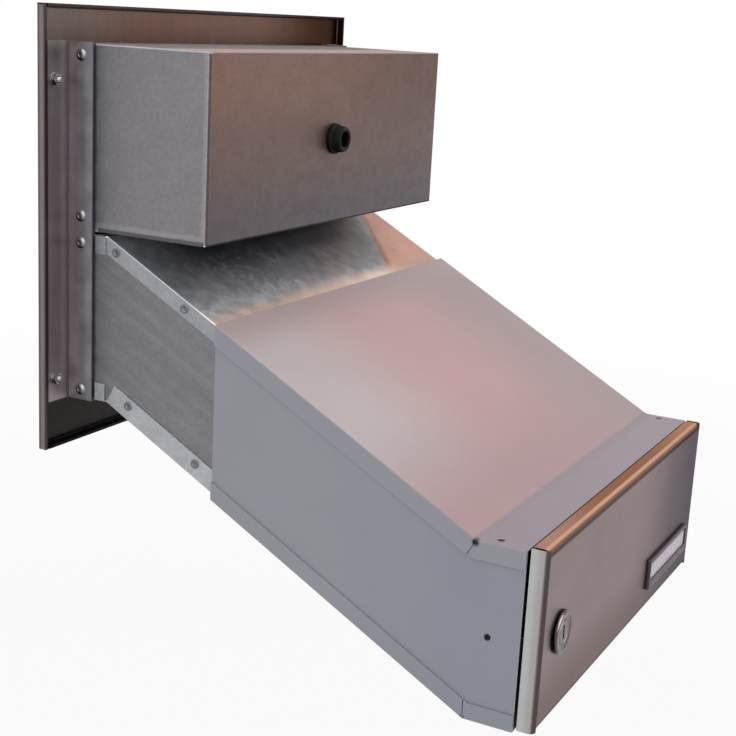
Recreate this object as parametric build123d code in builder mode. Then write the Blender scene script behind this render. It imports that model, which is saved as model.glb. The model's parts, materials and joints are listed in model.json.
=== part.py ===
from build123d import *
import os
from math import asin, atan2, cos, degrees, hypot, radians, sin, tan

# Through-wall mailbox with a box for an intercom above its letter duct
#
# +Z is up, +Y points to the street and -Y into the building. The origin is the middle of the
# street panel's rear rim, the plane that lies on the wall. Letters go in through the slot in the
# panel and slide down the duct and its sleeve to the door. Sizes are in millimetres.

os.makedirs("parts", exist_ok=True)

# Street panel, a sheet whose four edges are bent back to the wall
panel_width = 300
panel_height = 225
panel_depth = 6
panel_sheet = 1.5
panel_bend = 2.5

# Letter slot, narrower than the duct behind it and below the duct's top
slot_inset = 10
slot_height = 34
slot_below_duct_top = 17.5
slot_corner = 2

# Galvanised box for the intercom
body_inset = 22
zinc_sheet = 0.8
box_below_panel_top = 18.5
box_height = 93
box_depth = 81
box_bend = 1.5
box_lid_flange = 8
box_lid_flange_near = 8.5
box_lid_flange_end = 5
box_base_flange = 2
box_base_flange_near = 16
box_base_flange_end = 1

# Letter duct: level at the wall, then sloping down to the building
duct_gap = 1.5
duct_height = 87
duct_bend = 22
duct_reach = 170
slope = 28.5
duct_fold = 0.6
tab_near = 14.5
tab_height = 9.5
tab_gap = 1.2
duct_top_flange = 8
duct_bottom_flange = 11

# Powder-coated sleeve over the duct, with a level collar at its end
sleeve_sheet = 1.0
sleeve_fold = 0.8
sleeve_side_gap = 1.0
sleeve_face_gap = 0.6
sleeve_overlap = 80
sleeve_bend = 235
collar_length = 25
sleeve_top_flange = 9.5
sleeve_bottom_flange = 8.5
relief_width = 0.6
relief_hole = 1.2
relief_inset = 1.5

# Aluminium angles that join the panel to the box and the duct
angle_leg = 18
angle_sheet = 2
angle_root = 1.5
angle_overhang = 0.8

# Studs on the panel, with their nuts and washers
stud_beside_body = 12
stud_below_box_top = 18
stud_above_duct_bottom = 11.5
stud_radius = 1.5
stud_length = 6.5
stud_chamfer = 0.4
stud_hole_play = 0.4
stud_nut_size = 5.5
stud_nut_height = 2.4
thread_play = 0.05
washer_radius = 3.5
washer_height = 0.5
washer_play = 0.2

# Blind rivets through the angles, and flat rivets along the duct's flanges
rivet_radius = 1.6
rivet_play = 0.05
rivet_head_radius = 3.0
rivet_head = 1.1
rivet_head_edge = 0.7
rivet_tail_radius = 2.4
rivet_tail = 1.2
rivet_mandrel = 0.9
rivet_mandrel_depth = 0.9
rivet_line = 6
box_rivet_top_inset = 5.5
box_rivet_bottom_inset = 7.5
duct_rivet_inset = 4.8
flat_head_radius = 2.4
flat_head = 0.5
flat_head_edge = 0.3
flat_tail_radius = 2.2
flat_tail = 0.5
flat_rivet_pitch = 48
flat_rivet_top_first = 6.5
flat_rivet_top_inset = 4
flat_rivet_bottom_first = 16
flat_rivet_bottom_inset = 7

# Rubber cable grommet in the rear wall of the box
grommet_x = -4
grommet_base_radius = 8.4
grommet_base = 2.4
grommet_neck_radius = 6.7
grommet_length = 7.5
grommet_edge = 1.0
grommet_hole_radius = 6
grommet_inner_radius = 8.0
grommet_inner = 2
cable_bore_radius = 4.4

# Stainless door, a sheet whose four edges are bent back
door_inset = 1.8
door_height = 90
door_rise = 0.8
door_gap = 1.5
door_depth = 8.5
door_sheet = 1.2
door_bend = 3.2

# Concealed hinge: two goose-neck arms on a pin through the collar
hinge_inset = 4.3
hinge_setback = 15
hinge_pin_radius = 1.75
hinge_pin_recess = 0.3
hinge_play = 0.05
hinge_eye_radius = 3.5
hinge_arm_reach = 19
hinge_arm_width = 4
hinge_arm_bend = 4
hinge_arm_sheet = 2
hinge_arm_inset = 0.4
hinge_foot_width = 14
hinge_foot_height = 10
hinge_foot = 1.5
hinge_ring_radius = 3.5
hinge_ring_play = 0.1
hinge_clip = 0.8

# Cam lock
lock_inset = 25
lock_below_middle = 2.2
lock_flange_radius = 10.8
lock_flange = 2.4
lock_flange_edge = 0.8
lock_dish_radius = 8.4
lock_dish = 0.4
lock_barrel_radius = 8
lock_barrel_length = 18
lock_barrel_play = 0.1
lock_nut_size = 20
lock_nut_height = 3
plug_radius = 6
plug_play = 0.08
key_slot_width = 1.6
key_slot_height = 7
key_slot_depth = 8
cam_drive = 6
cam_drive_play = 0.05
cam_sheet = 2
cam_width = 12
cam_reach = 20
cam_gap = 0.3
cam_screw_head_radius = 4
cam_screw_head = 2.4
cam_screw_radius = 1.6
cam_screw_length = 10
cam_screw_socket = 2.5
catch_sheet = 1.5
catch_bend = 2
catch_lip = 12.8
catch_length = 18
catch_height = 24
catch_clearance = 0.7
catch_screw_setback = 16
catch_screw_radius = 1
catch_screw_head_radius = 1.6
catch_screw_head = 0.6
catch_screw_edge = 0.3

# Name plate on the door
nameplate_inset = 15.3
nameplate_below_middle = 23.7
nameplate_width = 74
nameplate_height = 18
nameplate_proud = 2
nameplate_corner = 1
nameplate_edge = 0.4
nameplate_window_width = 70.6
nameplate_window_height = 10.2
nameplate_window_lift = 1.3
nameplate_pocket_width = 72.2
nameplate_pocket_height = 13
nameplate_pocket = 1.5
nameplate_card = 1.0
nameplate_cover = 0.4
nameplate_play = 0.2

# Letter flap, hung behind the slot and pushed in
flap_sheet = 1.0
flap_overlap = 5
flap_gap = 0.4
flap_lip = 5
flap_bend = 2
flap_knuckle_radius = 2.2
flap_rod_radius = 1.15
flap_rod_play = 0.05
flap_rod_above_slot = 5
flap_rod_head_radius = 1.8
flap_rod_head = 0.8
flap_bracket_sheet = 1.5
flap_bracket_bend = 2
flap_bracket_gap = 0.6
flap_bracket_rise = 11
flap_bracket_drop = 4
flap_bracket_reach = 7
flap_foot_length = 10
flap_foot_height = 7.5
spring_inset = 23
spring_wire_radius = 0.3
spring_coil_radius = 1.75
spring_turns = 7
spring_pitch = 1.0
spring_leg = 10
spring_bay = 11
spring_bay_drop = 2.8

# Call button and the holes to speak through, in front of the box
button_inset = 53
bezel_radius = 11
bezel_height = 2
bezel_edge = 0.8
button_body_radius = 8
button_body_length = 20
button_body_play = 0.15
button_nut_size = 22
button_nut_height = 2.5
button_radius = 6
button_edge = 0.8
button_proud = 0.8
button_neck = 4
button_shoulder_radius = 7
button_shoulder = 2.2
button_play = 0.1
button_well = 8
button_spring_radius = 4
button_spring_wire_radius = 0.4
button_spring_turns = 4
contact_radius = 7
contact_length = 8
terminal_spacing = 7
terminal_width = 2.8
terminal_height = 0.8
terminal_length = 6
speech_inset = 68
speech_pitch = 7
speech_columns = 7
speech_rows = 5
speech_hole_radius = 1.5

# Places that follow from these sizes
match_tolerance = 0.01
slope_tan = tan(radians(slope))
slope_cos = cos(radians(slope))
slope_sin = sin(radians(slope))
mitre_tan = tan(radians(slope / 2))
panel_back = panel_depth - panel_sheet
body_width = panel_width - 2 * body_inset
body_half = body_width / 2
box_top = panel_height / 2 - box_below_panel_top
box_bottom = box_top - box_height
box_middle = box_top - box_height / 2
duct_top = box_bottom - duct_gap
duct_bottom = duct_top - duct_height
duct_half = body_half + zinc_sheet
sleeve_inner_half = duct_half + sleeve_side_gap
sleeve_half = sleeve_inner_half + sleeve_sheet
sleeve_outer_half = sleeve_half + sleeve_sheet
sleeve_lift = sleeve_face_gap + sleeve_sheet
sleeve_start = duct_reach - sleeve_overlap
collar_end = sleeve_bend + collar_length
collar_drop = (sleeve_bend - duct_bend) * slope_tan
collar_top = duct_top - collar_drop + sleeve_lift
collar_bottom = duct_bottom - collar_drop - sleeve_lift
door_width = 2 * (sleeve_outer_half - door_inset)
door_face = -(collar_end + door_gap + door_depth)
door_inside = door_face + door_sheet
door_top = collar_top + door_rise
door_bottom = door_top - door_height
door_middle = (door_top + door_bottom) / 2
hinge_x = sleeve_inner_half - hinge_inset
hinge_y = -(collar_end - hinge_setback)
lock_x = lock_inset - door_width / 2
lock_z = door_middle - lock_below_middle
cam_front = door_face + lock_barrel_length + cam_gap
nameplate_x = door_width / 2 - nameplate_inset - nameplate_width / 2
nameplate_z = door_middle - nameplate_below_middle
stud_x = body_half + stud_beside_body
stud_upper = box_top - stud_below_box_top
stud_lower = duct_bottom + stud_above_duct_bottom
slot_width = body_width - 2 * slot_inset
slot_top = duct_top - slot_below_duct_top
slot_middle = slot_top - slot_height / 2
button_x = body_half - button_inset
speech_x = speech_inset - body_half
flap_half = slot_width / 2 + flap_overlap
spring_x = spring_inset - flap_half
flap_rod_y = panel_back - flap_gap - flap_knuckle_radius
flap_rod_z = slot_top + flap_rod_above_slot

LOW = (Align.CENTER, Align.CENTER, Align.MIN)
HIGH = (Align.CENTER, Align.CENTER, Align.MAX)


def chute_height(level, lift, distance):
    """Height of a chute face at a distance from the wall; lift moves it square to its sheet."""
    mitre = lift * mitre_tan
    if distance <= duct_bend + mitre:
        return level + lift
    if distance <= sleeve_bend + mitre:
        return level + lift / slope_cos - (distance - duct_bend) * slope_tan
    return level + lift - collar_drop


def chute_edge(level, lift, near, far):
    """Corners of that face between two distances from the wall."""
    bends = [duct_bend + lift * mitre_tan, sleeve_bend + lift * mitre_tan]
    distances = [near, *[bend for bend in bends if near < bend < far], far]
    return [(-distance, chute_height(level, lift, distance)) for distance in distances]


def chute_side(x, upper, lower):
    """Upright face at x between two chute faces, each given as level, lift, near and far."""
    with BuildSketch(Plane.YZ.offset(x)) as outline:
        with BuildLine():
            Polyline(*chute_edge(*upper), *reversed(chute_edge(*lower)), close=True)
        make_face()
    return outline.sketch


def chute_folds(piece, half, level, lift):
    """Outer edges of a chute sheet along the folds of its flanges."""
    return piece.edges().filter_by(
        lambda edge: abs(abs(edge.center().X) - half) < match_tolerance
        and abs(edge.center().Z - chute_height(level, lift, -edge.center().Y)) < match_tolerance
    )


def fold_relief(x, level, lift, turn, flange):
    """Slit with a round start in the flange at x, where the sleeve bends to its level collar."""
    kink = Location((-sleeve_bend - lift * mitre_tan, level + lift - collar_drop), turn)
    with BuildSketch(Plane.YZ.offset(x)) as slit:
        with Locations(kink * Location((0, -relief_inset))):
            Circle(relief_hole)
            Rectangle(relief_width, flange, align=(Align.CENTER, Align.MAX))
    return slit.sketch


def rear_seat(x, y, z):
    """Seat that faces the building, with its x axis along +X."""
    return Plane(origin=(x, y, z), x_dir=(1, 0, 0), z_dir=(0, -1, 0))


def both_sides(x, spots):
    """Seats on the left and the right, facing outwards, at each spot's (y, z)."""
    return [Plane(origin=(side * x, y, z), z_dir=(side, 0, 0)) for side in (-1, 1) for y, z in spots]


def drill(seats, radius, depth):
    """Plugs to take away: round, from each seat inwards."""
    with BuildPart() as plugs:
        with Locations(*seats):
            Cylinder(radius, depth, align=HIGH)
    return plugs.part


def channel_section(plane, width, depth, sheet, bend):
    """Section of a sheet with both edges bent back, its outer face on the plane's x axis."""
    edge = (width - sheet) / 2
    with BuildSketch(plane) as section:
        with BuildLine():
            FilletPolyline(
                (-edge, depth), (-edge, sheet / 2), (edge, sheet / 2), (edge, depth), radius=bend - sheet / 2
            )
        trace(line_width=sheet)
    return section.sketch


def folded_pan(face, inwards, middle, width, height, depth, sheet, bend):
    """Sheet with four edges bent back. The upright returns run full height, so the corners are open."""
    upright = Plane(origin=(0, face, middle), x_dir=(inwards, 0, 0), z_dir=(0, 0, 1))
    level = Plane(origin=(0, face, middle), x_dir=(0, 0, -inwards), z_dir=(1, 0, 0))
    between = width - 2 * bend
    with BuildPart() as pan:
        extrude(channel_section(upright, width, depth, sheet, bend), amount=height / 2, both=True)
        with Locations((0, face, middle)):
            Box(between, 2 * depth, height, mode=Mode.SUBTRACT)
        extrude(channel_section(level, height, depth, sheet, bend), amount=between / 2, both=True)
    return pan.part


def rivet(head_radius, head, head_edge, grip, tail_radius, tail):
    """Rivet along +Z, its head seated at z = 0."""
    with BuildPart() as body:
        Cylinder(head_radius, head, align=LOW)
        fillet(body.edges().group_by(Axis.Z)[-1], head_edge)
        Cylinder(rivet_radius, grip, align=HIGH)
        with Locations((0, 0, -grip)):
            Cylinder(tail_radius, tail, align=HIGH)
    return body.part


def coil(radius, turns, pitch, wire_radius, leg=0):
    """Wound wire about +Z from z = 0, starting at +X, with straight tangent legs if asked for."""
    with BuildPart() as spring:
        with BuildLine() as path:
            winding = Helix(pitch=pitch, height=turns * pitch, radius=radius)
            if leg:
                Line(winding @ 0 - (winding % 0) * leg, winding @ 0)
                Line(winding @ 1, winding @ 1 + (winding % 1) * leg)
        wire = path.wire()
        with BuildSketch(Plane(origin=wire @ 0, z_dir=wire % 0)):
            Circle(wire_radius)
        sweep(path=wire, is_frenet=not leg)
    return spring.part


def flange_rivet_spots(level, inset, first):
    """Rivet places along a sloping flange, inset square to the slope from its fold."""
    count = int(((duct_reach - duct_bend) / slope_cos - first) / flat_rivet_pitch) + 1
    distances = [duct_bend + (first + turn * flat_rivet_pitch) * slope_cos for turn in range(count)]
    return [(-distance, chute_height(level, inset, distance)) for distance in distances]


# Rivet, stud and pin places
angle_rivet_seats = both_sides(
    body_half + angle_sheet,
    [
        (-rivet_line, box_top - box_rivet_top_inset),
        (-rivet_line, box_bottom + box_rivet_bottom_inset),
        (-rivet_line, duct_top - duct_rivet_inset),
        (-rivet_line, duct_bottom + duct_rivet_inset),
    ],
)
angle_rivet_grip = angle_sheet + zinc_sheet
top_rivet_seats = both_sides(
    duct_half, flange_rivet_spots(duct_top, -flat_rivet_top_inset, flat_rivet_top_first)
)
bottom_rivet_seats = both_sides(
    duct_half, flange_rivet_spots(duct_bottom, flat_rivet_bottom_inset, flat_rivet_bottom_first)
)
flat_rivet_grip = 2 * zinc_sheet
rivet_hole = rivet_radius + rivet_play
stud_seats = [
    rear_seat(side * stud_x, panel_back, z) for side in (-1, 1) for z in (stud_upper, stud_lower)
]
angle_rivet_holes = drill(angle_rivet_seats, rivet_hole, angle_rivet_grip)
top_rivet_holes = drill(top_rivet_seats, rivet_hole, flat_rivet_grip)
bottom_rivet_holes = drill(bottom_rivet_seats, rivet_hole, flat_rivet_grip)
hinge_holes = drill(
    [(side * hinge_x, hinge_y, collar_top) for side in (-1, 1)],
    hinge_pin_radius + hinge_play,
    collar_top - collar_bottom,
)

# Street panel
with BuildPart() as street_panel:
    add(folded_pan(panel_depth, -1, 0, panel_width, panel_height, panel_depth, panel_sheet, panel_bend))
    with BuildSketch(Plane.XZ.offset(-panel_depth)):
        with Locations((0, slot_middle)):
            RectangleRounded(slot_width, slot_height, slot_corner)
        with Locations((button_x, box_middle)):
            Circle(button_body_radius + button_body_play)
        with Locations((speech_x, box_middle)):
            with GridLocations(speech_pitch, speech_pitch, speech_columns, speech_rows):
                Circle(speech_hole_radius)
    extrude(amount=-panel_depth, both=True, mode=Mode.SUBTRACT)

# Studs welded on the back of the panel, their washers and nuts
with BuildPart() as stud:
    Cylinder(stud_radius, stud_length, align=LOW)
    chamfer(stud.edges().group_by(Axis.Z)[-1], stud_chamfer)
with BuildPart() as panel_studs:
    with Locations(*stud_seats):
        add(stud.part)

with BuildPart() as washer:
    with BuildSketch(Plane.XY.offset(angle_sheet)):
        Circle(washer_radius)
        Circle(stud_radius + washer_play, mode=Mode.SUBTRACT)
    extrude(amount=washer_height)
with BuildPart() as stud_washers:
    with Locations(*stud_seats):
        add(washer.part)

with BuildPart() as nut:
    with BuildSketch(Plane.XY.offset(angle_sheet + washer_height)):
        RegularPolygon(stud_nut_size / 2, 6, major_radius=False)
        Circle(stud_radius + thread_play, mode=Mode.SUBTRACT)
    extrude(amount=stud_nut_height)
with BuildPart() as stud_nuts:
    with Locations(*stud_seats):
        add(nut.part)

# Aluminium angles
angle_bottom = duct_bottom - angle_overhang
angle_length = box_top + angle_overhang - angle_bottom
with BuildPart() as left_angle:
    with BuildSketch(Plane.XY.offset(angle_bottom)) as angle_section:
        with Locations((-body_half, panel_back)):
            Rectangle(angle_leg, angle_sheet, align=(Align.MAX, Align.MAX))
            Rectangle(angle_sheet, angle_leg, align=(Align.MAX, Align.MAX))
        inner_corner = (-body_half - angle_sheet, panel_back - angle_sheet)
        fillet(angle_section.vertices().sort_by_distance(inner_corner)[0], angle_root)
    extrude(amount=angle_length)
    add(angle_rivet_holes, mode=Mode.SUBTRACT)
    with Locations(*stud_seats):
        Cylinder(stud_radius + stud_hole_play, angle_sheet, align=LOW, mode=Mode.SUBTRACT)
with BuildPart() as right_angle:
    mirror(left_angle.part, about=Plane.YZ)

with BuildPart() as blind_rivet:
    add(
        rivet(
            rivet_head_radius, rivet_head, rivet_head_edge, angle_rivet_grip, rivet_tail_radius, rivet_tail
        )
    )
    with Locations((0, 0, rivet_head)):
        Cylinder(rivet_mandrel, rivet_mandrel_depth, align=HIGH, mode=Mode.SUBTRACT)
with BuildPart() as angle_rivets:
    with Locations(*angle_rivet_seats):
        add(blind_rivet.part)

# Intercom box: one sheet bent round the back, a lid and a base
box_wall = body_half - zinc_sheet / 2
box_back = -(box_depth - zinc_sheet / 2)
box_length = box_depth + panel_back
with BuildPart() as box_shell:
    with BuildSketch(Plane.XY.offset(box_bottom + zinc_sheet)):
        with BuildLine():
            FilletPolyline(
                (-box_wall, panel_back),
                (-box_wall, box_back),
                (box_wall, box_back),
                (box_wall, panel_back),
                radius=box_bend - zinc_sheet / 2,
            )
        trace(line_width=zinc_sheet)
    extrude(amount=box_height - 2 * zinc_sheet)
    add(angle_rivet_holes, mode=Mode.SUBTRACT)
    with Locations(rear_seat(grommet_x, -box_depth, box_middle)):
        Cylinder(grommet_hole_radius, box_bend, align=HIGH, mode=Mode.SUBTRACT)


def box_sheet(height, thickness, flange_x, flange_near, flange_length, flange):
    """Level sheet of the box from a height, with flanges along both sides."""
    with BuildPart() as sheet:
        with BuildSketch(Plane.XY.offset(height)) as outline:
            with Locations((0, panel_back)):
                Rectangle(body_width, box_length, align=(Align.CENTER, Align.MAX))
            fillet(outline.vertices().group_by(Axis.Y)[0], box_bend)
        extrude(amount=thickness)
        with BuildSketch(Plane.XY.offset(height)):
            with Locations((0, -flange_near)):
                with GridLocations(2 * flange_x, 0, 2, 1):
                    Rectangle(zinc_sheet, flange_length, align=(Align.CENTER, Align.MAX))
        extrude(amount=flange)
    return sheet.part


with BuildPart() as box_top_sheet:
    lid_flange_x = body_half - 1.5 * zinc_sheet
    lid_flange_length = box_depth - box_lid_flange_near - box_lid_flange_end
    add(
        box_sheet(
            box_top, -zinc_sheet, lid_flange_x, box_lid_flange_near, lid_flange_length, -box_lid_flange
        )
    )

with BuildPart() as box_base_sheet:
    base_flange_x = body_half + zinc_sheet / 2
    base_flange_length = box_depth - box_base_flange_near - box_base_flange_end
    add(
        box_sheet(
            box_bottom, zinc_sheet, base_flange_x, box_base_flange_near, base_flange_length, box_base_flange
        )
    )
    with BuildSketch(Plane.XY.offset(box_bottom)):
        with Locations((0, -box_base_flange_near)):
            Rectangle(2 * duct_half, base_flange_length, align=(Align.CENTER, Align.MAX))
    extrude(amount=zinc_sheet)

# Cable grommet, snapped into the rear wall
with BuildPart() as grommet:
    Cylinder(grommet_base_radius, grommet_base, align=LOW)
    Cylinder(grommet_neck_radius, grommet_length, align=LOW)
    Cylinder(grommet_hole_radius, zinc_sheet, align=HIGH)
    with Locations((0, 0, -zinc_sheet)):
        Cylinder(grommet_inner_radius, grommet_inner, align=HIGH)
    fillet(grommet.edges().filter_by(GeomType.CIRCLE).group_by(Axis.Z)[-1], grommet_edge)
    base_rim = grommet.edges().filter_by(
        lambda edge: abs(edge.center().Z - grommet_base) < match_tolerance
    )
    fillet(base_rim.sort_by(SortBy.RADIUS)[-1], grommet_edge)
    Cylinder(cable_bore_radius, 4 * grommet_length, mode=Mode.SUBTRACT)
with BuildPart() as cable_grommet:
    with Locations(rear_seat(grommet_x, -box_depth, box_middle)):
        add(grommet.part)

# Letter duct: level and sloping top and bottom with flanges over the side plates
duct_run = (-panel_back, duct_reach)
flange_run = (duct_bend, duct_reach)
with BuildPart() as duct_top_sheet:
    sheet_section = chute_side(0, (duct_top, 0, *duct_run), (duct_top, -zinc_sheet, *duct_run))
    extrude(sheet_section, amount=body_half, both=True)
    for x in (body_half, -duct_half):
        flange_face = chute_side(x, (duct_top, 0, *flange_run), (duct_top, -duct_top_flange, *flange_run))
        extrude(flange_face, amount=zinc_sheet)
    with Locations((0, -tab_near, duct_top)):
        with GridLocations(body_width + zinc_sheet, 0, 2, 1):
            Box(
                zinc_sheet,
                duct_bend - tab_gap - tab_near,
                tab_height,
                align=(Align.CENTER, Align.MAX, Align.MAX),
            )
    fillet(chute_folds(duct_top_sheet, duct_half, duct_top, 0), duct_fold)
    add(top_rivet_holes, mode=Mode.SUBTRACT)

with BuildPart() as duct_bottom_sheet:
    sheet_section = chute_side(0, (duct_bottom, zinc_sheet, *duct_run), (duct_bottom, 0, *duct_run))
    extrude(sheet_section, amount=body_half, both=True)
    lean = duct_bottom_flange * slope_sin
    for x in (body_half, -duct_half):
        upper_edge = (duct_bottom, duct_bottom_flange, duct_bend + lean, duct_reach)
        extrude(chute_side(x, upper_edge, (duct_bottom, 0, *flange_run)), amount=zinc_sheet)
    with Locations((0, -tab_near, duct_bottom)):
        with GridLocations(body_width + zinc_sheet, 0, 2, 1):
            Box(
                zinc_sheet,
                duct_bend - tab_gap - tab_near,
                tab_height,
                align=(Align.CENTER, Align.MAX, Align.MIN),
            )
    fillet(chute_folds(duct_bottom_sheet, duct_half, duct_bottom, 0), duct_fold)
    add(bottom_rivet_holes, mode=Mode.SUBTRACT)

with BuildPart() as duct_left_side:
    extrude(
        chute_side(-body_half, (duct_top, -zinc_sheet, *duct_run), (duct_bottom, zinc_sheet, *duct_run)),
        amount=zinc_sheet,
    )
    add([angle_rivet_holes, top_rivet_holes, bottom_rivet_holes], mode=Mode.SUBTRACT)
with BuildPart() as duct_right_side:
    mirror(duct_left_side.part, about=Plane.YZ)

flat_rivet = rivet(flat_head_radius, flat_head, flat_head_edge, flat_rivet_grip, flat_tail_radius, flat_tail)
with BuildPart() as duct_rivets:
    with Locations(*top_rivet_seats, *bottom_rivet_seats):
        add(flat_rivet)

# Sleeve over the duct, with its collar
sleeve_run = (sleeve_start, collar_end)
with BuildPart() as sleeve_top_sheet:
    upper_face = (duct_top, sleeve_lift, *sleeve_run)
    sheet_section = chute_side(0, upper_face, (duct_top, sleeve_face_gap, *sleeve_run))
    extrude(sheet_section, amount=sleeve_outer_half, both=True)
    for x in (sleeve_half, -sleeve_outer_half):
        flange_foot = (duct_top, sleeve_lift - sleeve_top_flange, *sleeve_run)
        extrude(chute_side(x, upper_face, flange_foot), amount=sleeve_sheet)
    fillet(chute_folds(sleeve_top_sheet, sleeve_outer_half, duct_top, sleeve_lift), sleeve_fold)
    for x in (sleeve_half, -sleeve_outer_half):
        slit = fold_relief(x, duct_top, sleeve_lift, slope, sleeve_top_flange)
        extrude(slit, amount=sleeve_sheet, mode=Mode.SUBTRACT)
    add(hinge_holes, mode=Mode.SUBTRACT)

with BuildPart() as sleeve_bottom_sheet:
    lower_face = (duct_bottom, -sleeve_lift, *sleeve_run)
    sheet_section = chute_side(0, (duct_bottom, -sleeve_face_gap, *sleeve_run), lower_face)
    extrude(sheet_section, amount=sleeve_outer_half, both=True)
    for x in (sleeve_half, -sleeve_outer_half):
        flange_head = (duct_bottom, sleeve_bottom_flange - sleeve_lift, *sleeve_run)
        extrude(chute_side(x, flange_head, lower_face), amount=sleeve_sheet)
    fillet(chute_folds(sleeve_bottom_sheet, sleeve_outer_half, duct_bottom, -sleeve_lift), sleeve_fold)
    for x in (sleeve_half, -sleeve_outer_half):
        slit = fold_relief(x, duct_bottom, -sleeve_lift, 180, sleeve_bottom_flange)
        extrude(slit, amount=sleeve_sheet, mode=Mode.SUBTRACT)
    add(hinge_holes, mode=Mode.SUBTRACT)

side_upper = (duct_top, sleeve_face_gap, *sleeve_run)
side_lower = (duct_bottom, -sleeve_face_gap, *sleeve_run)
with BuildPart() as sleeve_right_side:
    extrude(chute_side(sleeve_inner_half, side_upper, side_lower), amount=sleeve_sheet)

catch_screw_seat = Plane(
    origin=(-sleeve_half, -(collar_end - catch_screw_setback), lock_z), z_dir=(-1, 0, 0)
)
catch_screw_grip = sleeve_sheet + catch_sheet
catch_hole = drill([catch_screw_seat], catch_screw_radius + thread_play, catch_screw_grip)
with BuildPart() as sleeve_left_side:
    mirror(sleeve_right_side.part, about=Plane.YZ)
    add(catch_hole, mode=Mode.SUBTRACT)

# Catch for the cam, bent from sheet, and its screw
catch_lip_y = cam_front - catch_clearance - catch_sheet / 2
catch_leg_x = -sleeve_inner_half + catch_sheet / 2
with BuildPart() as lock_catch:
    with BuildSketch(Plane.XY.offset(lock_z - catch_height / 2)):
        with BuildLine():
            FilletPolyline(
                (catch_leg_x, catch_lip_y - catch_sheet / 2 + catch_length),
                (catch_leg_x, catch_lip_y),
                (-sleeve_inner_half + catch_lip, catch_lip_y),
                radius=catch_bend - catch_sheet / 2,
            )
        trace(line_width=catch_sheet)
    extrude(amount=catch_height)
    add(catch_hole, mode=Mode.SUBTRACT)
with BuildPart() as catch_button:
    Cylinder(catch_screw_head_radius, catch_screw_head, align=LOW)
    fillet(catch_button.edges().group_by(Axis.Z)[-1], catch_screw_edge)
    Cylinder(catch_screw_radius, catch_screw_grip, align=HIGH)
with BuildPart() as catch_screw:
    with Locations(catch_screw_seat):
        add(catch_button.part)

# Door
lock_seat = rear_seat(lock_x, door_face, lock_z)
with BuildPart() as door_pan:
    add(folded_pan(door_face, 1, door_middle, door_width, door_height, door_depth, door_sheet, door_bend))
    with Locations(lock_seat):
        Cylinder(lock_barrel_radius + lock_barrel_play, 3 * door_sheet, mode=Mode.SUBTRACT)

# Hinge: arms on the door, the pin in the collar with its spacers and clips
hinge_upper = door_top - door_bend - hinge_arm_inset
hinge_lower = door_bottom + door_bend + hinge_arm_inset
with BuildPart() as hinge_arm:
    foot_y = door_inside - hinge_y
    with BuildSketch(Plane.XY):
        with BuildLine():
            FilletPolyline((0, 0), (-hinge_arm_reach, 0), (-hinge_arm_reach, foot_y), radius=hinge_arm_bend)
        trace(line_width=hinge_arm_width)
        Circle(hinge_eye_radius)
        Circle(hinge_pin_radius + hinge_play, mode=Mode.SUBTRACT)
    extrude(amount=-hinge_arm_sheet)
    with Locations((-hinge_arm_reach, foot_y, 0)):
        Box(hinge_foot_width, hinge_foot, hinge_foot_height, align=(Align.CENTER, Align.MIN, Align.MAX))
with BuildPart() as door_hinge_arms:
    add(hinge_arm.part.moved(Location((hinge_x, hinge_y, hinge_upper))))
    add(hinge_arm.part.mirror(Plane.XY).moved(Location((hinge_x, hinge_y, hinge_lower))))

with BuildPart() as hinge_pin:
    with Locations((hinge_x, hinge_y, collar_top - hinge_pin_recess)):
        Cylinder(hinge_pin_radius, collar_top - collar_bottom - 2 * hinge_pin_recess, align=HIGH)


def pin_rings(spans):
    """Rings on the hinge pin between pairs of heights."""
    with BuildPart() as rings:
        for low, high in spans:
            with BuildSketch(Plane.XY.offset(low)):
                with Locations((hinge_x, hinge_y)):
                    Circle(hinge_ring_radius)
                    Circle(hinge_pin_radius, mode=Mode.SUBTRACT)
            extrude(amount=high - low)
    return rings.part


with BuildPart() as hinge_spacers:
    upper_span = (hinge_upper + hinge_ring_play, collar_top - sleeve_sheet)
    lower_span = (collar_bottom + sleeve_sheet, hinge_lower - hinge_ring_play)
    add(pin_rings([upper_span, lower_span]))
with BuildPart() as hinge_clips:
    below_arm = hinge_upper - hinge_arm_sheet - hinge_ring_play
    above_arm = hinge_lower + hinge_arm_sheet + hinge_ring_play
    add(pin_rings([(below_arm - hinge_clip, below_arm), (above_arm, above_arm + hinge_clip)]))

# Lock, drawn with its axis along +Z and the door's face at z = 0
cam_low = -lock_barrel_length - cam_gap - cam_sheet
with BuildPart() as lock_case:
    Cylinder(lock_flange_radius, lock_flange, align=LOW)
    fillet(lock_case.edges().group_by(Axis.Z)[-1], lock_flange_edge)
    Cylinder(lock_barrel_radius, lock_barrel_length, align=HIGH)
    with Locations((0, 0, lock_flange)):
        Cylinder(lock_dish_radius, lock_dish, align=HIGH, mode=Mode.SUBTRACT)
    Cylinder(plug_radius + plug_play, 3 * lock_barrel_length, mode=Mode.SUBTRACT)
with BuildPart() as lock_body:
    with Locations(lock_seat):
        add(lock_case.part)

with BuildPart() as plug:
    with Locations((0, 0, -lock_barrel_length)):
        Cylinder(plug_radius, lock_barrel_length + lock_flange - lock_dish, align=LOW)
        Box(cam_drive, cam_drive, cam_gap + cam_sheet, align=HIGH)
    with Locations((0, 0, lock_flange)):
        Box(key_slot_width, key_slot_height, key_slot_depth, align=HIGH, mode=Mode.SUBTRACT)
    with Locations((0, 0, cam_low)):
        Cylinder(cam_screw_radius, cam_screw_length, align=LOW, mode=Mode.SUBTRACT)
with BuildPart() as lock_plug:
    with Locations(lock_seat):
        add(plug.part)

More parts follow.
